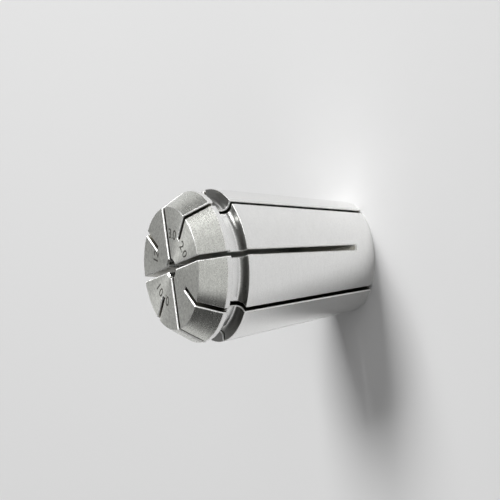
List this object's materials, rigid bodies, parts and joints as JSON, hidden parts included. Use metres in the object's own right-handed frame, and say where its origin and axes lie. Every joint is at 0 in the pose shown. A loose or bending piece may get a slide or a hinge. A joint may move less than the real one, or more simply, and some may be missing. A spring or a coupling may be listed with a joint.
{
  "type": "er collet",
  "caption": "Slotted spring-steel collet with a long seating taper, a nut groove, a nose cone and a small through bore that closes on a tool shank.",
  "frame": {"origin": "centre of the small back end", "axes": "+Z along the axis from the small back end to the front face; a front slot faces -Y"},
  "size_m": [0.0258, 0.0258, 0.034],
  "materials": {
    "ground_steel": "hardened spring steel, ground and left bright"
  },
  "bodies": {
    "root": {"collet_body": "ground_steel"}
  },
  "joints": []
}
